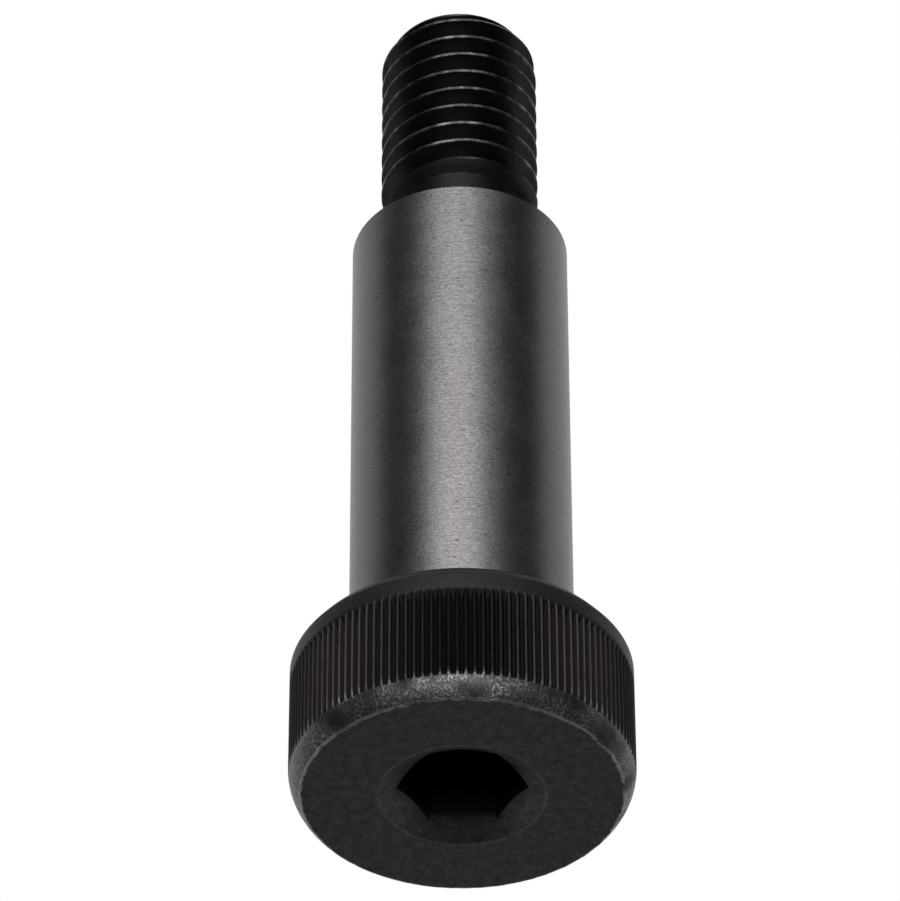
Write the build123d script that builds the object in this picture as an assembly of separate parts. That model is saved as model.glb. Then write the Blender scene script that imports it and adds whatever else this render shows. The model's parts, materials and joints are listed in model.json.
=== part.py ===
from build123d import *
from math import ceil, cos, pi, radians, sin, sqrt, tan
import os

# Shoulder bolt, turned and rolled from one bar. Millimetres.
# +Z runs up the axis from the head to the thread. The origin is the centre of
# the head's end face, which holds the hex socket and on which the bolt stands.

# ---- Head -------------------------------------------------------------
HEAD_DIA = 24.2              # over the crests of the knurl
HEAD_HEIGHT = 11.0
HEAD_CORNER_RADIUS = 2.0     # from the end face's edge into the knurl
HEAD_CORNER_WIDTH = 0.875    # across, from the end face's edge to the crests
HEAD_RIM_WIDTH = 0.5         # chamfer at the bearing face, across
HEAD_RIM_HEIGHT = 0.65       # and along the axis
KNURL_TEETH = 126            # straight knurl
KNURL_DEPTH = 0.3            # a 90 degree tooth

# ---- Hex socket -------------------------------------------------------
SOCKET_FLATS = 8.0           # across flats
SOCKET_DEPTH = 6.6
SOCKET_POINT_ANGLE = 120.0   # drilled point below the hex
SINK_DIA = 11.7              # countersink at the end face
SINK_ANGLE = 120.0

# ---- Shoulder ---------------------------------------------------------
SHOULDER_DIA = 15.95
SHOULDER_LENGTH = 38.4
SHOULDER_EDGE = 0.2          # broken edge at the thread end
RELIEF_WIDTH = 2.0           # grinding relief beside the head, along the axis
RELIEF_DEPTH = 0.3           # and into the shoulder
RELIEF_FACE_WIDTH = 0.4      # its cut into the bearing face, beyond the shoulder
RELIEF_FACE_DEPTH = 0.2

# ---- Thread, coarse M12, right hand -----------------------------------
THREAD_DIA = 11.75
THREAD_PITCH = 1.75
THREAD_DEPTH = 0.6134 * THREAD_PITCH
THREAD_CREST = THREAD_PITCH / 8
THREAD_FLANK_ANGLE = 30.0    # each side of the groove
THREAD_END_LENGTH = 20.0     # shoulder to the end of the bolt
THREAD_LEAD_ANGLE = 45.0     # run-in cone beside the neck, from the axis
THREAD_TIP_DIA = 10.0        # chamfered end
THREAD_TIP_LENGTH = 1.35
THREAD_START_ANGLE = -85.0   # where the groove starts, about +Z from +X
NECK_DIA = 9.5
NECK_LENGTH = 4.0            # shoulder to the foot of the run-in cone
NECK_ROOT = 0.4              # cone at the neck's foot

# ---- Heights along the axis -------------------------------------------
SHOULDER_END = HEAD_HEIGHT + SHOULDER_LENGTH
NECK_END = SHOULDER_END + NECK_LENGTH
BOLT_END = SHOULDER_END + THREAD_END_LENGTH


def turned_blank():
    """The bolt before its knurl, socket and thread: one revolved half section."""
    head_r = HEAD_DIA / 2
    face_r = head_r - HEAD_CORNER_WIDTH
    shoulder_r = SHOULDER_DIA / 2
    relief_r = shoulder_r - RELIEF_DEPTH
    neck_r = NECK_DIA / 2
    thread_r = THREAD_DIA / 2
    corner_r = head_r - HEAD_CORNER_RADIUS
    corner_z = sqrt(HEAD_CORNER_RADIUS**2 - (face_r - corner_r)**2)
    tooth_foot_r = head_r - KNURL_DEPTH
    tooth_foot_z = corner_z - sqrt(HEAD_CORNER_RADIUS**2 - (tooth_foot_r - corner_r)**2)
    lead_length = (thread_r - neck_r) / tan(radians(THREAD_LEAD_ANGLE))
    relief_end = HEAD_HEIGHT + RELIEF_WIDTH

    with BuildPart() as blank:
        with BuildSketch(Plane.XZ):
            with BuildLine():
                Line((0, 0), (face_r, 0))
                RadiusArc((face_r, 0), (tooth_foot_r, tooth_foot_z), -HEAD_CORNER_RADIUS)
                Polyline(
                    (tooth_foot_r, tooth_foot_z),
                    (head_r, corner_z),
                    (head_r, HEAD_HEIGHT - HEAD_RIM_HEIGHT),
                    (head_r - HEAD_RIM_WIDTH, HEAD_HEIGHT),
                    (shoulder_r + RELIEF_FACE_WIDTH, HEAD_HEIGHT),
                    (relief_r, HEAD_HEIGHT - RELIEF_FACE_DEPTH),
                    (relief_r, relief_end - RELIEF_DEPTH),
                    (shoulder_r, relief_end),
                    (shoulder_r, SHOULDER_END - SHOULDER_EDGE),
                    (shoulder_r - SHOULDER_EDGE, SHOULDER_END),
                    (neck_r + NECK_ROOT, SHOULDER_END),
                    (neck_r, SHOULDER_END + NECK_ROOT),
                    (neck_r, NECK_END),
                    (thread_r, NECK_END + lead_length),
                    (thread_r, BOLT_END - THREAD_TIP_LENGTH),
                    (THREAD_TIP_DIA / 2, BOLT_END),
                    (0, BOLT_END),
                    (0, 0),
                )
            make_face()
        revolve(axis=Axis.Z)
    return blank.part


def knurl_sleeve():
    """A wide ring with a toothed bore. Cut from the head, it leaves the knurl."""
    crest_r = HEAD_DIA / 2
    root_r = crest_r - KNURL_DEPTH
    half_spacing = pi / KNURL_TEETH
    corners = []
    for flank in range(2 * KNURL_TEETH):
        radius = root_r if flank % 2 else crest_r
        angle = flank * half_spacing
        corners.append((radius * cos(angle), radius * sin(angle)))
    with BuildPart() as sleeve:
        with BuildSketch():
            Circle(HEAD_DIA)
            with BuildLine():
                Polyline(*corners, close=True)
            make_face(mode=Mode.SUBTRACT)
        extrude(amount=HEAD_HEIGHT)
    return sleeve.part


def socket_cutter():
    """Hex hole with its drilled point, and the countersink at its mouth."""
    hex_inner_r = SOCKET_FLATS / 2
    sink_r = SINK_DIA / 2
    point_height = hex_inner_r / tan(radians(SOCKET_POINT_ANGLE / 2))
    sink_height = sink_r / tan(radians(SINK_ANGLE / 2))
    with BuildPart() as cutter:
        with BuildSketch():
            RegularPolygon(hex_inner_r, 6, major_radius=False)
        extrude(amount=SOCKET_DEPTH)
        with BuildSketch(Plane.XZ):
            Polygon((0, SOCKET_DEPTH), (hex_inner_r, SOCKET_DEPTH),
                    (0, SOCKET_DEPTH + point_height), align=None)
        revolve(axis=Axis.Z)
        with BuildSketch(Plane.XZ):
            Polygon((0, 0), (sink_r, 0), (0, sink_height), align=None)
        revolve(axis=Axis.Z)
    return cutter.part


def groove_turn():
    """One turn of the 60 degree thread groove, swept from the middle of the neck."""
    flank_slope = tan(radians(THREAD_FLANK_ANGLE))
    root_r = THREAD_DIA / 2 - THREAD_DEPTH
    reach = THREAD_DEPTH + THREAD_CREST / 2
    mouth = THREAD_PITCH - THREAD_CREST + THREAD_CREST * flank_slope
    root = mouth - 2 * reach * flank_slope
    start = (SHOULDER_END + NECK_END) / 2
    helix = Helix(THREAD_PITCH, THREAD_PITCH, root_r, center=(0, 0, start))
    section = Plane(origin=helix @ 0, x_dir=(1, 0, 0), z_dir=helix % 0)
    with BuildPart() as turn:
        with BuildSketch(section):
            Polygon((0, -root / 2), (reach, -mouth / 2), (reach, mouth / 2), (0, root / 2),
                    align=None)
        sweep(path=helix, is_frenet=True)
    return Rot(0, 0, THREAD_START_ANGLE) * turn.part


def cut_thread(blank):
    """The blank with its thread cut turn by turn, from the neck to past the end."""
    turns = ceil((BOLT_END - SHOULDER_END) / THREAD_PITCH)
    turn = groove_turn()
    for index in range(turns):
        blank -= Pos(0, 0, index * THREAD_PITCH) * turn
    return blank


shoulder_bolt = cut_thread(turned_blank()) - knurl_sleeve() - socket_cutter()
shoulder_bolt.label = "shoulder_bolt"

os.makedirs("parts", exist_ok=True)
export_step(shoulder_bolt, "parts/shoulder_bolt.step")
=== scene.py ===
"""Dresses a shoulder bolt: its knurled head, ground shoulder and rolled thread, and their finishes."""

import json
import math

import bmesh
import bpy
from mathutils import Matrix, Vector, noise


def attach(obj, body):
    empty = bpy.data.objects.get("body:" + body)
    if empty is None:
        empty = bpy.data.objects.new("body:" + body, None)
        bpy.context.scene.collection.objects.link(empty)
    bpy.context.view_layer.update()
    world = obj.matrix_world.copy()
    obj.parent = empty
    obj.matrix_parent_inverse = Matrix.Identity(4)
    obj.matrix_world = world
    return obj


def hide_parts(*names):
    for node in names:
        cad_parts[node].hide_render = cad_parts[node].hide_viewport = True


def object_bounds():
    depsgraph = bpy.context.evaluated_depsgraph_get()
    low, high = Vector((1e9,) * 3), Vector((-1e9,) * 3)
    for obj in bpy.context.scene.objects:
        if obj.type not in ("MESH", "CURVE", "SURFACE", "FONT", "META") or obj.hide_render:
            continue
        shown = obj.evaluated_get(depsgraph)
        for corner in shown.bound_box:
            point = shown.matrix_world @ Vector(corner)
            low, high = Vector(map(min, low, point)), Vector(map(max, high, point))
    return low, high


bl_info = {
    "name": "Shoulder bolt",
    "version": (1, 0, 0),
    "blender": (4, 5, 0),
    "location": "View3D > Sidebar > Shoulder bolt",
    "description": "Builds a socket-head shoulder bolt and a plain studio round it",
    "category": "Add Mesh",
}

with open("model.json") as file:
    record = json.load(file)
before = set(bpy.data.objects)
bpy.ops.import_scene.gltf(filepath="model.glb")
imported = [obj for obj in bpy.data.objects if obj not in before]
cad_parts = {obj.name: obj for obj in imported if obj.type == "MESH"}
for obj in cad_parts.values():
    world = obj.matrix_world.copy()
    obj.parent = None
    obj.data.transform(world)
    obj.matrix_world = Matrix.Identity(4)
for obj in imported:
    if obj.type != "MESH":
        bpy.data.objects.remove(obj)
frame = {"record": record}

MM = 0.001
NODE = "shoulder_bolt"
BODY = "root"
LOW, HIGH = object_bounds()
MOUNTS = {mount["name"]: mount for mount in frame["record"]["mounts"]}
SHOULDER_R = MOUNTS["shoulder"]["dims"]["r_mm"] * MM
BEARING_Z = MOUNTS["under_head"]["pos_m"][2]
SHOULDER_END_Z = MOUNTS["shoulder_face"]["pos_m"][2]
TURN = 2 * math.pi
SHARP_ANGLE = math.radians(32)  # edges that bend more than this stay sharp
WELD = 1e-7                     # metres; points closer than this are one


# ---- Sizes and colours that a user would change -----------------------------


def length(name, description, default):
    """A length property, in metres."""
    return bpy.props.FloatProperty(
        name=name, description=description, default=default, min=0.0,
        subtype="DISTANCE", unit="LENGTH", precision=3,
    )


class HeadSizes(bpy.types.PropertyGroup):
    """The head, its knurl and its socket."""

    crest_r: length("Knurl radius", "Radius over the knurl's crests", HIGH.x)
    corner_r: length("Corner radius", "Round from the end face to the knurl", 3.0 * MM)
    corner_width: length("Corner width", "End face's edge to the crests", 0.875 * MM)
    rim_width: length("Rim width", "Chamfer at the bearing face, across", 0.5 * MM)
    rim_height: length("Rim height", "Chamfer at the bearing face, along", 0.65 * MM)
    knurl_depth: length("Knurl depth", "Crest to root of the straight knurl", 0.34 * MM)
    knurl_start: length("Knurl start", "End face to the grooves' ends", 1.45 * MM)
    knurl_band: length("Plain band", "Grooves' other ends to the bearing face", 1.9 * MM)
    knurl_rise: length("Knurl rise", "Run-out of a groove at the corner", 0.5 * MM)
    knurl_runout: length("Knurl run-out", "Its run-out at the plain band", 0.9 * MM)
    socket_flats: length("Socket flats", "Hex socket, across flats", 8.0 * MM)
    socket_depth: length("Socket depth", "Depth of the hex", 6.6 * MM)
    sink_r: length("Countersink radius", "Countersink at the end face", 5.85 * MM)
    knurl_teeth: bpy.props.IntProperty(
        name="Knurl teeth", description="Teeth round the head", default=126, min=6,
    )
    edge_dent: length("Edge dents", "Unevenness of the end face's edge", 0.03 * MM)


class ShoulderSizes(bpy.types.PropertyGroup):
    """The ground shoulder."""

    relief_width: length("Relief width", "Grinding relief beside the head", 2.0 * MM)
    relief_depth: length("Relief depth", "How deep the relief is", 0.3 * MM)
    relief_face: length("Relief in the face", "Its reach across the bearing face", 0.4 * MM)
    relief_sink: length("Relief face depth", "Its depth in the bearing face", 0.2 * MM)
    edge: length("Edge break", "Broken edge at the thread end", 0.2 * MM)


class ThreadSizes(bpy.types.PropertyGroup):
    """The neck and the rolled thread."""

    crest_r: length("Thread radius", "Radius over the crests", 5.875 * MM)
    pitch: length("Pitch", "Distance from crest to crest", 1.75 * MM)
    neck_r: length("Neck radius", "Radius of the neck", 4.75 * MM)
    neck_length: length("Neck length", "Shoulder to the run-in cone", 4.0 * MM)
    neck_root: length("Neck root", "Cone at the neck's foot", 0.4 * MM)
    tip_r: length("Tip radius", "Radius of the chamfered end", 5.0 * MM)
    tip_length: length("Tip length", "Length of the end chamfer", 1.35 * MM)
    start_angle: bpy.props.FloatProperty(
        name="Start angle", description="Where the groove starts, about the axis",
        default=math.radians(-85), subtype="ANGLE",
    )


class FinishColours(bpy.types.PropertyGroup):
    """Colours of the black oxide, of the worn steel under it, and of the dirt and painted shade, as
    sRGB hex.
    """

    ground: bpy.props.StringProperty(
        name="Ground oxide", description="Black oxide on ground steel", default="#525051",
    )
    knurled: bpy.props.StringProperty(
        name="Knurled oxide", description="Black oxide on the knurl", default="#2F2E2E",
    )
    forged: bpy.props.StringProperty(
        name="Forged oxide", description="Black oxide on the end face", default="#4E4B4B",
    )
    rolled: bpy.props.StringProperty(
        name="Rolled oxide", description="Black oxide on the thread", default="#302E31",
    )
    # Darker colour painted on the neck as shade under the thread's overhang.
    neck: bpy.props.StringProperty(
        name="Neck oxide", description="Dull oxide on the neck and in the socket",
        default="#1D1B1C",
    )
    # Dark colour of the dirt in the knurl's grooves; it also paints the shade deep in them.
    dirt_and_shade: bpy.props.StringProperty(
        name="Groove dirt", description="Dried oil and dust in the knurl", default="#161312",
    )
    worn: bpy.props.StringProperty(
        name="Worn steel", description="Steel where the oxide is rubbed off",
        default="#A39F9A",
    )


class StudioSettings(bpy.types.PropertyGroup):
    """The camera and the lamps."""

    elevation: bpy.props.FloatProperty(
        name="Camera elevation", description="Camera above the horizon",
        default=math.radians(-38.89), subtype="ANGLE",
    )
    distance: length("Camera distance", "Camera to the point it looks at", 417.3 * MM)
    roll: bpy.props.FloatProperty(
        name="Camera roll", description="Turn about the line of sight",
        default=math.radians(-0.19), subtype="ANGLE",
    )
    lens: bpy.props.FloatProperty(
        name="Lens", description="Focal length", default=230.5, min=1.0,
        subtype="DISTANCE_CAMERA",
    )
    softbox_level: bpy.props.FloatProperty(
        name="Softbox level", description="Radiance of the front softbox", default=6.0,
        min=0.0,
    )


# ---- Small helpers -----------------------------------------------------------


def settings(context):
    """All of the add-on's property groups, by name."""
    return context.scene.shoulder_bolt


def linear(hex_colour):
    """An sRGB hex colour as the linear RGBA that shaders take."""
    channels = [int(hex_colour[i:i + 2], 16) / 255 for i in (1, 3, 5)]
    return tuple(
        c / 12.92 if c <= 0.04045 else ((c + 0.055) / 1.055) ** 2.4 for c in channels
    ) + (1.0,)


def add(tree, kind, inputs=None, **values):
    """A shader node with its settings, and its sockets set or linked."""
    made = tree.nodes.new("ShaderNode" + kind)
    for name, value in values.items():
        setattr(made, name, value)
    for name, value in (inputs or {}).items():
        if isinstance(value, bpy.types.NodeSocket):
            tree.links.new(value, made.inputs[name])
        else:
            made.inputs[name].default_value = value
    return made


def new_material(name):
    """An empty node material and its tree."""
    material = bpy.data.materials.new(name)
    material.use_nodes = True
    material.node_tree.nodes.clear()
    return material, material.node_tree


def finish_piece(name, bm, materials):
    """Makes the bmesh an object of the bolt, smooth but for its sharp edges."""
    bmesh.ops.recalc_face_normals(bm, faces=bm.faces)
    for face in bm.faces:
        face.smooth = True
    mesh = bpy.data.meshes.new(name)
    bm.to_mesh(mesh)
    bm.free()
    mesh.set_sharp_from_angle(angle=SHARP_ANGLE)
    for material in materials:
        mesh.materials.append(material)
    piece = bpy.data.objects.new(name, mesh)
    bpy.context.scene.collection.objects.link(piece)
    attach(piece, BODY)
    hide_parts(NODE)
    return piece


def spun(profile, steps):
    """A closed turned shape: the (radius, height) profile spun about the axis."""
    bm = bmesh.new()
    verts = [bm.verts.new((radius, 0, height)) for radius, height in profile]
    edges = [bm.edges.new(pair) for pair in zip(verts, verts[1:])]
    bmesh.ops.spin(
        bm, geom=verts + edges, cent=(0, 0, 0), axis=(0, 0, 1), dvec=(0, 0, 0),
        angle=TURN, steps=steps, use_merge=True, use_duplicate=False,
    )
    bmesh.ops.remove_doubles(bm, verts=bm.verts, dist=WELD)
    return bm


def between(start, end, count):
    """Evenly spaced points from start up to, but not including, end."""
    return [
        tuple(a + (b - a) * i / count for a, b in zip(start, end)) for i in range(count)
    ]


# ---- Knurled head -----------------------------------------------------------

COLUMNS_PER_TOOTH = 8
CORNER_ROWS = 22        # rows of faces round the corner
CORNER_SHARE = 0.97     # of the corner's angle, so that the face's edge has a row of its own
WALL_RATIO = 1.05       # where the hex wall is first spun, against half its flats
COARSE_DENT = 1.3       # dents of the face's edge, per mm
FINE_DENT = 4
DENT_HEIGHT = 0.7 * MM  # how far up the corner the dents reach
TINY = 1e-6             # a radius that counts as nothing, in metres


def corner_point(sizes, angle):
    """A point of the round between the end face and the knurl, angle below level."""
    centre_r = sizes.crest_r - sizes.corner_r
    face_r = sizes.crest_r - sizes.corner_width
    centre_z = math.sqrt(sizes.corner_r**2 - (face_r - centre_r) ** 2)
    return (
        centre_r + sizes.corner_r * math.cos(angle),
        centre_z - sizes.corner_r * math.sin(angle),
    )


def head_profile(sizes):
    """The head's half section, from the socket's point round to the bearing face."""
    hex_r = sizes.socket_flats / 2
    wall_r = hex_r * WALL_RATIO
    point_z = sizes.socket_depth + hex_r / math.sqrt(3)
    face_r = sizes.crest_r - sizes.corner_width
    face_angle = math.acos((face_r - sizes.crest_r + sizes.corner_r) / sizes.corner_r)
    rim_z = BEARING_Z - sizes.rim_height
    top = BEARING_Z - sizes.knurl_band
    sink_edge = 0.1 * MM
    face_edge = 0.15 * MM
    rim_edge = 0.05 * MM
    side_gap = 0.1 * MM
    points = [(0, point_z), (hex_r, sizes.socket_depth), (wall_r, sizes.socket_depth)]
    points += [(wall_r, 0.5 * sizes.socket_depth), (wall_r, 0.5 * MM)]
    points += [(sizes.sink_r - sink_edge, sink_edge / math.sqrt(3))]
    points += [(sizes.sink_r - 0.3 * sink_edge, 0.12 * sink_edge)]
    points += between((sizes.sink_r + 0.6 * sink_edge, 0), (face_r - face_edge, 0), 3)
    points += [(face_r - face_edge, 0), (face_r - 0.04 * MM, 0.005 * MM)]
    for i in range(CORNER_ROWS + 1):
        share = CORNER_SHARE - CORNER_SHARE * i / CORNER_ROWS
        points.append(corner_point(sizes, face_angle * share))
    foot_z = points[-1][1]
    full_z = sizes.knurl_start + sizes.knurl_rise
    side_z = max(foot_z, full_z) + side_gap
    points += between(
        (sizes.crest_r, side_z), (sizes.crest_r, top - sizes.knurl_runout), 3)
    points += between(
        (sizes.crest_r, top - sizes.knurl_runout), (sizes.crest_r, top + side_gap), 10)
    points += between((sizes.crest_r, top + side_gap), (sizes.crest_r, rim_z - rim_edge), 2)
    points += [(sizes.crest_r, rim_z - rim_edge), (sizes.crest_r - 0.015 * MM, rim_z)]
    points += [(sizes.crest_r - sizes.rim_width + 0.01 * MM, BEARING_Z - rim_edge)]
    points += [(sizes.crest_r - sizes.rim_width - 0.03 * MM, BEARING_Z)]
    return points


def knurl_radius(sizes, angle, height):
    """Radius of the rolled teeth at an angle and a height; the grooves run out at both ends."""
    phase = angle / TURN * sizes.knurl_teeth
    groove = (1 - math.cos(TURN * phase)) / 2
    from_corner = (height - sizes.knurl_start) / sizes.knurl_rise
    from_band = (BEARING_Z - sizes.knurl_band - height) / sizes.knurl_runout
    reach = max(0, min(1, from_corner, from_band))
    return sizes.crest_r - sizes.knurl_depth * min(groove, reach)


def hex_radius(flats, angle):
    """Distance from the axis to a hexagon's wall, with a corner at angle 0."""
    sixth = TURN / 6
    return flats / 2 / math.cos(angle % sixth - sixth / 2)


def shape_head(bm, sizes):
    """Shapes the knurl, the hex walls and the dented face edge of the spun head."""
    root_r = sizes.crest_r - sizes.knurl_depth
    wall_r = sizes.socket_flats / 2 * WALL_RATIO
    dented_r = sizes.sink_r + 5 * MM
    for vert in bm.verts:
        x, y, z = vert.co
        radius = math.hypot(x, y)
        if radius < TINY:
            continue
        angle = math.atan2(y, x)
        new_r = radius
        if radius > root_r:
            new_r = min(radius, knurl_radius(sizes, angle, z))
        elif abs(radius - wall_r) < TINY:
            new_r = hex_radius(sizes.socket_flats, angle)
            if z < MM:  # the wall's mouth, on the countersink's cone
                vert.co.z = (sizes.sink_r - new_r) / math.sqrt(3)
        elif radius > dented_r and z < DENT_HEIGHT:
            dent = noise.noise(vert.co / MM * COARSE_DENT) + noise.noise(vert.co / MM * FINE_DENT)
            fade = max(0, 1 - abs(z) / DENT_HEIGHT)
            new_r = radius + sizes.edge_dent * dent * fade
        vert.co.x *= new_r / radius
        vert.co.y *= new_r / radius


def head_mesh(sizes, shoulder):
    """The knurled head as one closed shell."""
    profile = head_profile(sizes)
    profile += [
        (SHOULDER_R + shoulder.relief_face, BEARING_Z),
        (SHOULDER_R - shoulder.relief_depth, BEARING_Z - shoulder.relief_sink),
        (0, BEARING_Z - shoulder.relief_sink),
    ]
    bm = spun(profile, sizes.knurl_teeth * COLUMNS_PER_TOOTH)
    shape_head(bm, sizes)
    return bm


# ---- Ground shoulder --------------------------------------------------------

SHOULDER_STEPS = 256


def shoulder_mesh(shoulder, thread):
    """The ground shoulder with its relief and broken edge."""
    relief_r = SHOULDER_R - shoulder.relief_depth
    relief_end = BEARING_Z + shoulder.relief_width
    base = BEARING_Z - shoulder.relief_sink
    profile = [
        (0, base),
        (relief_r, base),
        (relief_r, relief_end - shoulder.relief_depth),
        (SHOULDER_R, relief_end),
        (SHOULDER_R, SHOULDER_END_Z - shoulder.edge),
        (SHOULDER_R - shoulder.edge, SHOULDER_END_Z),
        (thread.neck_r + thread.neck_root, SHOULDER_END_Z),
        (0, SHOULDER_END_Z),
    ]
    return spun(profile, SHOULDER_STEPS)


# ---- Threaded end -----------------------------------------------------------

STEPS_PER_TURN = 96
THREAD_RATIO = 0.6134           # groove depth against pitch, as on metric threads
FLANK_ANGLE = math.radians(30)  # each side of the groove
THREAD_WELD = 2e-6              # metres; joins one turn's edge to the next


def thread_section(thread):
    """One pitch of the thread's outline, from mid groove to mid groove, as (radius, height)."""
    depth = THREAD_RATIO * thread.pitch
    crest = thread.pitch / 8
    root_r = thread.crest_r - depth
    root = thread.pitch - crest - 2 * depth * math.tan(FLANK_ANGLE)
    flank_foot = root / 2
    flank_top = (thread.pitch - crest) / 2
    half = between((root_r, 0), (root_r, flank_foot), 2)
    half += between((root_r, flank_foot), (thread.crest_r, flank_top), 8)
    half += between((thread.crest_r, flank_top), (thread.crest_r, thread.pitch / 2), 2)
    other_half = [(radius, thread.pitch - height) for radius, height in reversed(half[1:])]
    return half + [(thread.crest_r, thread.pitch / 2)] + other_half + [(root_r, thread.pitch)]


def blank_radius(thread, height, end_z):
    """Radius of the turned blank under the thread: neck, run-in cone, chamfered end."""
    neck_end = SHOULDER_END_Z + thread.neck_length
    if height < neck_end:
        return thread.neck_r + max(0, SHOULDER_END_Z + thread.neck_root - height)
    run_in = thread.neck_r + height - neck_end
    tip_slope = (thread.crest_r - thread.tip_r) / thread.tip_length
    tip = thread.tip_r + (end_z - height) * tip_slope
    return min(run_in, tip)


def thread_mesh(thread):
    """Neck and thread: one pitch of outline wound up the axis, then cut to the blank."""
    end_z = HIGH.z
    start_z = SHOULDER_END_Z + thread.neck_length / 2
    below = math.ceil((start_z - SHOULDER_END_Z) / thread.pitch) + 1
    turns = math.ceil((end_z - start_z) / thread.pitch) + 1 + below
    steps = turns * STEPS_PER_TURN
    bm = bmesh.new()
    lift = start_z - below * thread.pitch
    verts = [bm.verts.new((r, 0, lift + z)) for r, z in thread_section(thread)]
    edges = [bm.edges.new(pair) for pair in zip(verts, verts[1:])]
    bmesh.ops.rotate(
        bm, verts=bm.verts, cent=(0, 0, 0),
        matrix=Matrix.Rotation(thread.start_angle, 3, "Z"),
    )
    bmesh.ops.spin(
        bm, geom=verts + edges, cent=(0, 0, 0), axis=(0, 0, 1),
        dvec=(0, 0, thread.pitch / STEPS_PER_TURN), angle=turns * TURN, steps=steps,
        use_merge=False, use_duplicate=False,
    )
    bmesh.ops.remove_doubles(bm, verts=bm.verts, dist=THREAD_WELD)
    for height, side in ((SHOULDER_END_Z, -1), (end_z, 1)):
        cut = bmesh.ops.bisect_plane(
            bm, geom=bm.verts[:] + bm.edges[:] + bm.faces[:], dist=WELD,
            plane_co=(0, 0, height), plane_no=(0, 0, side), clear_outer=True,
        )
        rim = [e for e in cut["geom_cut"] if isinstance(e, bmesh.types.BMEdge)]
        bmesh.ops.contextual_create(bm, geom=rim)
    neck_end = SHOULDER_END_Z + thread.neck_length
    for vert in bm.verts:
        radius = math.hypot(vert.co.x, vert.co.y)
        limit = blank_radius(thread, vert.co.z, end_z)
        new_r = limit if vert.co.z < neck_end else min(radius, limit)
        vert.co.x *= new_r / radius
        vert.co.y *= new_r / radius
    return bm


# ---- Finishes -----------------------------------------------------------------


def axis_distance(tree, position):
    """Distance from the bolt's axis, in metres, at each shaded point."""
    flat = add(tree, "VectorMath", {0: position, 1: (1, 1, 0)}, operation="MULTIPLY")
    return add(tree, "VectorMath", {0: flat.outputs[0]}, operation="LENGTH").outputs["Value"]


def ground_oxide(colours):
    """Black oxide on ground steel: satin, with fine grain, faint rings and tiny pits."""
    material, tree = new_material("ground_black_oxide")
    place = add(tree, "TexCoord").outputs["Object"]
    grain_place = add(tree, "Mapping", {"Vector": place, "Scale": (0.55, 0.55, 1.0)})
    grain = add(tree, "TexNoise", {
        "Vector": grain_place.outputs[0], "Scale": 1 / (0.13 * MM), "Detail": 3.0,
        "Roughness": 0.7})
    rings_place = add(tree, "Mapping", {"Vector": place, "Scale": (0.08, 0.08, 1.0)})
    rings = add(tree, "TexNoise", {
        "Vector": rings_place.outputs[0], "Scale": 1 / (0.15 * MM), "Detail": 2.0})
    cloud = add(tree, "TexNoise", {"Vector": place, "Scale": 1 / (2.5 * MM), "Detail": 4.0})
    height = add(tree, "Math", {0: grain.outputs[0], 1: rings.outputs[0]}, operation="ADD")
    bump = add(tree, "Bump", {
        "Height": height.outputs[0], "Strength": 0.9, "Distance": 0.012 * MM})
    pits = add(tree, "TexVoronoi", {"Vector": grain_place.outputs[0], "Scale": 1 / (0.9 * MM)})
    pit = add(tree, "MapRange", {
        "Value": pits.outputs["Distance"], "From Min": 0.05, "From Max": 0.13,
        "To Min": 0.45, "To Max": 1.0})
    tone = add(tree, "MapRange", {
        "Value": grain.outputs[0], "From Min": 0.3, "From Max": 0.7,
        "To Min": 0.62, "To Max": 1.38})
    patch = add(tree, "MapRange", {
        "Value": cloud.outputs[0], "From Min": 0.3, "From Max": 0.7,
        "To Min": 0.92, "To Max": 1.08})
    shade = add(tree, "Math", {0: tone.outputs[0], 1: patch.outputs[0]}, operation="MULTIPLY")
    shade = add(tree, "Math", {0: shade.outputs[0], 1: pit.outputs[0]}, operation="MULTIPLY")
    colour = add(tree, "VectorMath", {
        0: linear(colours.ground)[:3], "Scale": shade.outputs[0]}, operation="SCALE")
    rough = add(tree, "MapRange", {
        "Value": cloud.outputs[0], "From Min": 0.3, "From Max": 0.7,
        "To Min": 0.35, "To Max": 0.38})
    shader = add(tree, "BsdfPrincipled", {
        "Base Color": colour.outputs[0], "Metallic": 1.0,
        "Specular Tint": (0.95, 0.95, 0.95, 1.0),
        "Roughness": rough.outputs[0], "Normal": bump.outputs[0]})
    add(tree, "OutputMaterial", {"Surface": shader.outputs[0]})
    return material


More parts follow.
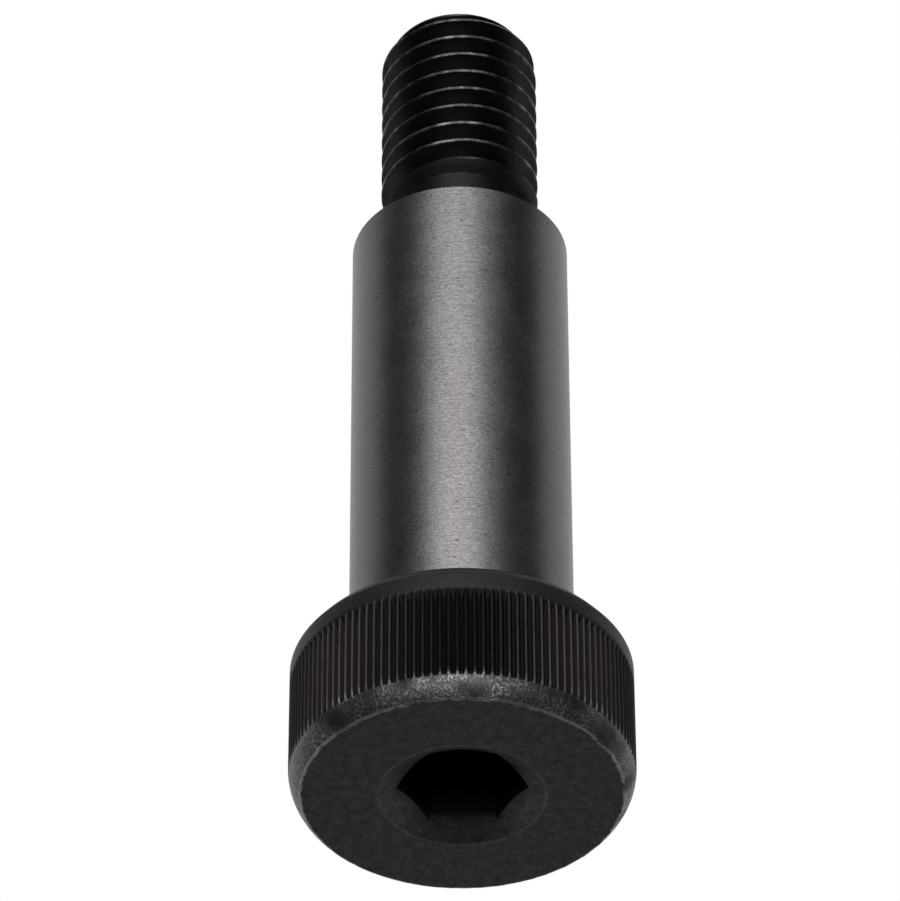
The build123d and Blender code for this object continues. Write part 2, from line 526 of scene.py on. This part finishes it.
def knurled_oxide(colours, sizes):
    """Black oxide on the rolled knurl: dirt and painted shade in the grooves, rubbed grainy corner
    below them.
    """
    material, tree = new_material("knurled_black_oxide")
    place = add(tree, "TexCoord").outputs["Object"]
    height = add(tree, "SeparateXYZ", {0: place}).outputs["Z"]
    radius = axis_distance(tree, place)
    grain = add(tree, "TexNoise", {
        "Vector": place, "Scale": 1 / (0.17 * MM), "Detail": 4.0, "Roughness": 0.75})
    patch = add(tree, "TexNoise", {"Vector": place, "Scale": 1 / (2.4 * MM), "Detail": 4.0})
    # Below its upper end the corner draws in by about the drop squared over twice its radius.
    corner_z = math.sqrt(2 * sizes.corner_r * sizes.corner_width - sizes.corner_width**2)
    below = add(tree, "Math", {0: corner_z, 1: height}, operation="SUBTRACT")
    below = add(tree, "Math", {0: below.outputs[0], 1: 0.0}, operation="MAXIMUM")
    drop = add(tree, "Math", {0: below.outputs[0], 1: 2.0}, operation="POWER")
    drop = add(tree, "Math", {
        0: drop.outputs[0], 1: 0.5 / sizes.corner_r, 2: radius}, operation="MULTIPLY_ADD")
    # Painted shade and dirt: the colour turns to the dark one with the groove's depth, for the shade
    # deep in the grooves as well as for dirt in them.
    in_groove = add(tree, "MapRange", {
        "Value": drop.outputs[0], "From Min": sizes.crest_r - 0.08 * MM,
        "From Max": sizes.crest_r - 0.005 * MM, "To Min": 1.0, "To Max": 0.0})
    above_corner = add(tree, "MapRange", {
        "Value": height, "From Min": sizes.knurl_start - 0.05 * MM,
        "From Max": sizes.knurl_start + 0.05 * MM})
    in_groove = add(tree, "Math", {
        0: in_groove.outputs[0], 1: above_corner.outputs[0]}, operation="MULTIPLY")
    # The plain band above the knurl also takes the dark colour, rising over the knurl's run-out and
    # weaker at the rim.
    on_band = add(tree, "MapRange", {
        "Value": height, "From Min": BEARING_Z - sizes.knurl_band - sizes.knurl_runout,
        "From Max": BEARING_Z - sizes.knurl_band, "To Max": 0.65})
    off_rim = add(tree, "MapRange", {
        "Value": height, "From Min": BEARING_Z - sizes.rim_height - 0.1 * MM,
        "From Max": BEARING_Z - sizes.rim_height, "To Min": 1.0, "To Max": 0.35})
    on_band = add(tree, "Math", {
        0: on_band.outputs[0], 1: off_rim.outputs[0]}, operation="MULTIPLY")
    stained = add(tree, "MapRange", {
        "Value": patch.outputs[0], "From Min": 0.44, "From Max": 0.34, "To Max": 0.6})
    dirt_and_shade_mask = add(tree, "Math", {
        0: in_groove.outputs[0], 1: on_band.outputs[0]}, operation="MAXIMUM")
    dirt_and_shade_mask = add(tree, "Math", {
        0: dirt_and_shade_mask.outputs[0], 1: stained.outputs[0]}, operation="MAXIMUM")
    corner = add(tree, "MapRange", {
        "Value": height, "From Min": sizes.knurl_start + 0.9 * MM,
        "From Max": sizes.knurl_start + 0.2 * MM})
    rubbed = add(tree, "MapRange", {
        "Value": grain.outputs[0], "From Min": 0.47, "From Max": 0.64, "To Max": 0.42})
    tooth_edge = add(tree, "Math", {0: in_groove.outputs[0], 1: 0.5}, operation="PINGPONG")
    rubbed = add(tree, "Math", {0: rubbed.outputs[0], 1: tooth_edge.outputs[0]}, operation="ADD")
    rubbed = add(tree, "Math", {0: rubbed.outputs[0], 1: corner.outputs[0]}, operation="MULTIPLY")
    clear = add(tree, "MapRange", {
        "Value": patch.outputs[0], "From Min": 0.42, "From Max": 0.58,
        "To Min": 0.15, "To Max": 1.0})
    rubbed = add(tree, "Math", {0: rubbed.outputs[0], 1: clear.outputs[0]}, operation="MULTIPLY")
    chipped = add(tree, "MapRange", {
        "Value": patch.outputs[0], "From Min": 0.4, "From Max": 0.55,
        "To Min": 0.45, "To Max": 1.0})
    at_face = add(tree, "MapRange", {
        "Value": height, "From Min": 0.16 * MM, "From Max": 0.05 * MM, "To Max": 0.6})
    at_face = add(tree, "Math", {
        0: at_face.outputs[0], 1: chipped.outputs[0]}, operation="MULTIPLY")
    rubbed = add(tree, "Math", {
        0: rubbed.outputs[0], 1: at_face.outputs[0]}, operation="MAXIMUM")
    oxide = add(tree, "Mix", {
        "Factor": rubbed.outputs[0], "A": linear(colours.knurled), "B": linear(colours.worn)},
        data_type="RGBA")
    dirt_and_shade = add(tree, "Mix", {
        "Factor": dirt_and_shade_mask.outputs[0], "A": oxide.outputs["Result"], "B": linear(colours.dirt_and_shade)},
        data_type="RGBA")
    bump = add(tree, "Bump", {
        "Height": grain.outputs[0], "Strength": 0.9, "Distance": 0.05 * MM})
    rough = add(tree, "MapRange", {
        "Value": dirt_and_shade_mask.outputs[0], "To Min": 0.4, "To Max": 0.6})
    shader = add(tree, "BsdfPrincipled", {
        "Base Color": dirt_and_shade.outputs["Result"], "Metallic": 1.0,
        "Specular Tint": (1.0, 1.0, 1.0, 1.0),
        "Roughness": rough.outputs[0], "Normal": bump.outputs[0]})
    add(tree, "OutputMaterial", {"Surface": shader.outputs[0]})
    return material


def forged_oxide(colours, sizes):
    """Black oxide on the forged end face: matt, finely scratched, bright at its worn edge, with a
    painted highlight at the countersink and painted shade deeper in the socket.
    """
    material, tree = new_material("forged_black_oxide")
    place = add(tree, "TexCoord").outputs["Object"]
    radius = axis_distance(tree, place)
    grain = add(tree, "TexNoise", {
        "Vector": place, "Scale": 1 / (0.18 * MM), "Detail": 4.0, "Roughness": 0.7})
    scratch_place = add(tree, "Mapping", {
        "Vector": place, "Scale": (1.0, 0.12, 1.0), "Rotation": (0, 0, math.radians(38))})
    scratches = add(tree, "TexNoise", {
        "Vector": scratch_place.outputs[0], "Scale": 1 / (0.5 * MM), "Detail": 3.0,
        "Distortion": 0.6})
    off_line = add(tree, "Math", {0: scratches.outputs[0], 1: 0.5}, operation="SUBTRACT")
    off_line = add(tree, "Math", {0: off_line.outputs[0]}, operation="ABSOLUTE")
    scratched = add(tree, "MapRange", {
        "Value": off_line.outputs[0], "From Max": 0.004, "To Min": 0.11, "To Max": 0.0})
    face_r = sizes.crest_r - sizes.corner_width
    edge = add(tree, "MapRange", {
        "Value": radius, "From Min": face_r - 0.14 * MM, "From Max": face_r - 0.08 * MM})
    broken = add(tree, "TexNoise", {"Vector": place, "Scale": 1 / (0.7 * MM), "Detail": 3.0})
    broken = add(tree, "MapRange", {
        "Value": broken.outputs[0], "From Min": 0.36, "From Max": 0.6})
    worn = add(tree, "Math", {0: edge.outputs[0], 1: broken.outputs[0]}, operation="MULTIPLY")
    worn = add(tree, "Math", {0: worn.outputs[0], 1: 0.9}, operation="MULTIPLY")
    # Painted highlight: a thin ring of the worn colour along the countersink's edge.
    off_ring = add(tree, "Math", {0: radius, 1: sizes.sink_r}, operation="SUBTRACT")
    off_ring = add(tree, "Math", {0: off_ring.outputs[0]}, operation="ABSOLUTE")
    painted_sink_ring = add(tree, "MapRange", {
        "Value": off_ring.outputs[0], "From Min": 0.02 * MM, "From Max": 0.14 * MM,
        "To Min": 0.13, "To Max": 0.0})
    # From here on the worn mask holds this painted highlight ring as well as the wear.
    worn = add(tree, "Math", {0: worn.outputs[0], 1: painted_sink_ring.outputs[0]}, operation="ADD")
    worn = add(tree, "Math", {0: worn.outputs[0], 1: scratched.outputs[0]}, operation="ADD")
    cloud = add(tree, "TexNoise", {"Vector": place, "Scale": 1 / (0.7 * MM), "Detail": 5.0})
    tone = add(tree, "Math", {
        0: grain.outputs[0], 1: 2.0, 2: cloud.outputs[0]}, operation="MULTIPLY_ADD")
    tone = add(tree, "MapRange", {
        "Value": tone.outputs[0], "From Min": 1.1, "From Max": 1.9,
        "To Min": 0.5, "To Max": 1.5})
    # Painted shade: the oxide darkens with depth into the socket, down to a fifth of its tone.
    deep = add(tree, "SeparateXYZ", {0: place}).outputs["Z"]
    deep = add(tree, "MapRange", {
        "Value": deep, "From Min": 0.5 * MM, "From Max": 1.6 * MM,
        "To Min": 1.0, "To Max": 0.2})
    tone = add(tree, "Math", {0: tone.outputs[0], 1: deep.outputs[0]}, operation="MULTIPLY")
    oxide = add(tree, "VectorMath", {
        0: linear(colours.forged)[:3], "Scale": tone.outputs[0]}, operation="SCALE")
    colour = add(tree, "Mix", {
        "Factor": worn.outputs[0], "A": oxide.outputs[0], "B": linear(colours.worn)},
        data_type="RGBA")
    bump = add(tree, "Bump", {
        "Height": grain.outputs[0], "Strength": 0.5, "Distance": 0.02 * MM})
    shader = add(tree, "BsdfPrincipled", {
        "Base Color": colour.outputs["Result"], "Metallic": 1.0,
        "Specular Tint": (0.5, 0.5, 0.5, 1.0),
        "Roughness": 0.5, "Normal": bump.outputs[0]})
    add(tree, "OutputMaterial", {"Surface": shader.outputs[0]})
    return material


def rolled_oxide(colours, thread):
    """Black oxide on the rolled thread: glossy, nicked on its crests, rougher on the neck and darker
    there with painted shade.
    """
    material, tree = new_material("rolled_black_oxide")
    place = add(tree, "TexCoord").outputs["Object"]
    height = add(tree, "SeparateXYZ", {0: place}).outputs["Z"]
    radius = axis_distance(tree, place)
    grain = add(tree, "TexNoise", {"Vector": place, "Scale": 1 / (0.25 * MM), "Detail": 3.0})
    nicks = add(tree, "TexNoise", {"Vector": place, "Scale": 1 / (0.8 * MM), "Detail": 4.0})
    nicks = add(tree, "MapRange", {
        "Value": nicks.outputs[0], "From Min": 0.45, "From Max": 0.68})
    crest = add(tree, "MapRange", {
        "Value": radius, "From Min": thread.crest_r - 0.15 * MM,
        "From Max": thread.crest_r - 0.03 * MM})
    worn = add(tree, "Math", {0: crest.outputs[0], 1: nicks.outputs[0]}, operation="MULTIPLY")
    worn = add(tree, "Math", {0: worn.outputs[0], 1: 0.3}, operation="MULTIPLY")
    colour = add(tree, "Mix", {
        "Factor": worn.outputs[0], "A": linear(colours.rolled), "B": linear(colours.worn)},
        data_type="RGBA")
    # Painted shade: towards the shoulder the neck takes the darker colour, and a higher roughness.
    neck = add(tree, "MapRange", {
        "Value": height, "From Min": SHOULDER_END_Z + thread.neck_length + 1.0 * MM,
        "From Max": SHOULDER_END_Z + thread.neck_length + 0.4 * MM})
    neck_shaded_colour = add(tree, "Mix", {
        "Factor": neck.outputs[0], "A": colour.outputs["Result"], "B": linear(colours.neck)},
        data_type="RGBA")
    rough = add(tree, "MapRange", {"Value": neck.outputs[0], "To Min": 0.34, "To Max": 0.5})
    bump = add(tree, "Bump", {
        "Height": grain.outputs[0], "Strength": 0.5, "Distance": 0.03 * MM})
    shader = add(tree, "BsdfPrincipled", {
        "Base Color": neck_shaded_colour.outputs["Result"], "Metallic": 1.0,
        "Specular Tint": (0.6, 0.6, 0.6, 1.0),
        "Roughness": rough.outputs[0], "Normal": bump.outputs[0]})
    add(tree, "OutputMaterial", {"Surface": shader.outputs[0]})
    return material


# ---- Studio --------------------------------------------------------------------


def aim(piece, place, target, roll=0.0):
    """Puts a lamp, a card or the camera at a place, looking at the target."""
    turn = (target - place).to_track_quat("-Z", "Y").to_matrix().to_4x4()
    piece.matrix_world = Matrix.Translation(place) @ turn @ Matrix.Rotation(roll, 4, "Z")


def make_camera(studio):
    """The camera, in front of the bolt and below it, measured from a point on the axis."""
    target = Vector((-0.78 * MM, -0.36 * MM, (LOW.z + HIGH.z) / 2 - 4.25 * MM))
    axis_point = Vector((0, 0, 30 * MM))
    away = Vector((0, -math.cos(studio.elevation), math.sin(studio.elevation)))
    data = bpy.data.cameras.new("camera")
    data.sensor_fit = "HORIZONTAL"
    data.sensor_width = 36
    data.lens = studio.lens
    data.clip_start = 10 * MM
    camera = bpy.data.objects.new("camera", data)
    bpy.context.scene.collection.objects.link(camera)
    aim(camera, axis_point + away * studio.distance, target, studio.roll)
    bpy.context.scene.camera = camera


def make_softbox(name, place, width, height, level, target):
    """A rectangular lamp of the given radiance, which the camera doesn't see."""
    data = bpy.data.lights.new(name, "AREA")
    data.shape = "RECTANGLE"
    data.size = width
    data.size_y = height
    data.energy = level * math.pi * width * height
    lamp = bpy.data.objects.new(name, data)
    bpy.context.scene.collection.objects.link(lamp)
    lamp.visible_camera = False
    aim(lamp, Vector(place), Vector(target))


def make_card(name, place, width, height, colour, target):
    """A flat card that only the reflections see, as beside dark metal in a studio."""
    bm = bmesh.new()
    bmesh.ops.create_grid(bm, x_segments=1, y_segments=1, size=0.5)
    bmesh.ops.scale(bm, vec=(width, height, 1), verts=bm.verts)
    mesh = bpy.data.meshes.new(name)
    bm.to_mesh(mesh)
    bm.free()
    material, tree = new_material(name)
    glow = add(tree, "Emission", {"Color": linear(colour)})
    add(tree, "OutputMaterial", {"Surface": glow.outputs[0]})
    mesh.materials.append(material)
    card = bpy.data.objects.new(name, mesh)
    bpy.context.scene.collection.objects.link(card)
    aim(card, Vector(place), Vector(target))
    card.visible_camera = False
    card.visible_diffuse = False
    card.visible_shadow = False


def make_world():
    """White for the camera and in reflections, and a plain level for the rest."""
    world = bpy.data.worlds.new("studio")
    bpy.context.scene.world = world
    world.use_nodes = True
    tree = world.node_tree
    tree.nodes.clear()
    path = add(tree, "LightPath")
    seen = add(tree, "Math", {
        0: path.outputs["Is Camera Ray"], 1: path.outputs["Is Glossy Ray"]},
        operation="MAXIMUM")
    through = add(tree, "Math", {
        0: seen.outputs[0], 1: path.outputs["Is Transmission Ray"]}, operation="MAXIMUM")
    level = add(tree, "MapRange", {"Value": through.outputs[0], "To Min": 0.7, "To Max": 1.0})
    sky = add(tree, "Background", {
        "Color": (1.0, 1.0, 1.0, 1.0), "Strength": level.outputs[0]})
    add(tree, "OutputWorld", {"Surface": sky.outputs[0]})


def make_floor():
    """A pale floor, seen from above only, with the bolt's shadow on it."""
    half_width = 3
    bm = bmesh.new()
    bmesh.ops.create_grid(bm, x_segments=1, y_segments=1, size=half_width)
    mesh = bpy.data.meshes.new("floor")
    bm.to_mesh(mesh)
    bm.free()
    material, tree = new_material("floor_paper")
    paper = add(tree, "BsdfDiffuse", {"Color": linear("#F4F4F4")})
    clear = add(tree, "BsdfTransparent")
    side = add(tree, "NewGeometry")
    both = add(tree, "MixShader", {
        0: side.outputs["Backfacing"], 1: paper.outputs[0], 2: clear.outputs[0]})
    add(tree, "OutputMaterial", {"Surface": both.outputs[0]})
    mesh.materials.append(material)
    floor = bpy.data.objects.new("floor", mesh)
    bpy.context.scene.collection.objects.link(floor)
    floor.location.z = LOW.z - 0.05 * MM
    floor.visible_diffuse = False
    floor.visible_glossy = False
    floor.visible_shadow = False


# ---- Operators -----------------------------------------------------------------


class BOLT_OT_head(bpy.types.Operator):
    """Build the knurled head with its hex socket"""

    bl_idname = "bolt.head"
    bl_label = "Knurled head"

    def execute(self, context):
        """Makes the head and gives each face its finish."""
        values = settings(context)
        sizes = values.head
        bm = head_mesh(sizes, values.shoulder)
        face_r = sizes.crest_r - sizes.corner_width
        socket_top = BEARING_Z - 1.5 * MM  # above the socket, below the bearing face
        for face in bm.faces:
            centre = face.calc_center_median()
            radius = math.hypot(centre.x, centre.y)
            if radius < face_r and centre.z < socket_top:
                face.material_index = 1
        finish_piece("knurled_head", bm, [
            knurled_oxide(values.colours, sizes), forged_oxide(values.colours, sizes)])
        return {"FINISHED"}


class BOLT_OT_shoulder(bpy.types.Operator):
    """Build the ground shoulder"""

    bl_idname = "bolt.shoulder"
    bl_label = "Ground shoulder"

    def execute(self, context):
        """Makes the shoulder with its finish."""
        values = settings(context)
        bm = shoulder_mesh(values.shoulder, values.thread)
        finish_piece("ground_shoulder", bm, [ground_oxide(values.colours)])
        return {"FINISHED"}


class BOLT_OT_thread(bpy.types.Operator):
    """Build the neck and the rolled thread"""

    bl_idname = "bolt.thread"
    bl_label = "Threaded end"

    def execute(self, context):
        """Makes the threaded end with its finish."""
        values = settings(context)
        bm = thread_mesh(values.thread)
        finish_piece("threaded_end", bm, [rolled_oxide(values.colours, values.thread)])
        return {"FINISHED"}


class BOLT_OT_studio(bpy.types.Operator):
    """Set up the floor, the lamps, the cards and the camera"""

    bl_idname = "bolt.studio"
    bl_label = "Studio"

    def execute(self, context):
        """Makes everything that isn't the bolt."""
        studio = settings(context).studio
        context.scene.view_settings.view_transform = "Standard"
        make_world()
        make_floor()
        make_camera(studio)
        middle = (0, 0, 35 * MM)
        make_softbox("front_softbox", (-0.05, -0.6, 0.13), 0.47, 0.8, studio.softbox_level, middle)
        make_card("left_card", (-0.5, -0.24, 0.1), 0.52, 1.4, "#202020", middle)
        make_card("right_card", (0.5, -0.24, 0.1), 0.52, 1.4, "#202020", middle)
        make_card("low_card", (0, -0.1, -0.4), 1.2, 0.6, "#161616", middle)
        make_card("back_low_card", (0, 0.55, -0.4), 1.4, 0.6, "#909090", middle)
        return {"FINISHED"}


class BOLT_PT_panel(bpy.types.Panel):
    """The bolt's pieces and sizes"""

    bl_idname = "BOLT_PT_panel"
    bl_label = "Shoulder bolt"
    bl_space_type = "VIEW_3D"
    bl_region_type = "UI"
    bl_category = "Shoulder bolt"

    def draw(self, context):
        """Lists the operators and the sizes that they use."""
        values = settings(context)
        for operator in OPERATORS:
            self.layout.operator(operator.bl_idname)
        for group in (values.head, values.shoulder, values.thread, values.colours, values.studio):
            box = self.layout.box()
            for name in group.__annotations__:
                box.prop(group, name)


class BoltSettings(bpy.types.PropertyGroup):
    """All sizes, colours and studio settings of the bolt."""

    head: bpy.props.PointerProperty(name="Head", description="Head sizes", type=HeadSizes)
    shoulder: bpy.props.PointerProperty(
        name="Shoulder", description="Shoulder sizes", type=ShoulderSizes)
    thread: bpy.props.PointerProperty(
        name="Thread", description="Thread sizes", type=ThreadSizes)
    colours: bpy.props.PointerProperty(
        name="Colours", description="Finish colours", type=FinishColours)
    studio: bpy.props.PointerProperty(
        name="Studio", description="Camera and lamps", type=StudioSettings)


GROUPS = (HeadSizes, ShoulderSizes, ThreadSizes, FinishColours, StudioSettings, BoltSettings)
OPERATORS = (BOLT_OT_head, BOLT_OT_shoulder, BOLT_OT_thread, BOLT_OT_studio)


def register():
    """Registers the classes and hangs the settings on the scene."""
    for item in GROUPS + OPERATORS + (BOLT_PT_panel,):
        bpy.utils.register_class(item)
    bpy.types.Scene.shoulder_bolt = bpy.props.PointerProperty(
        name="Shoulder bolt", description="The bolt's settings", type=BoltSettings)


def unregister():
    """Takes the settings and the classes away again."""
    del bpy.types.Scene.shoulder_bolt
    for item in reversed(GROUPS + OPERATORS + (BOLT_PT_panel,)):
        bpy.utils.unregister_class(item)


def main():
    """Builds the bolt and its studio."""
    register()
    bpy.ops.bolt.head()
    bpy.ops.bolt.shoulder()
    bpy.ops.bolt.thread()
    bpy.ops.bolt.studio()


if __name__ == "__main__":
    main()
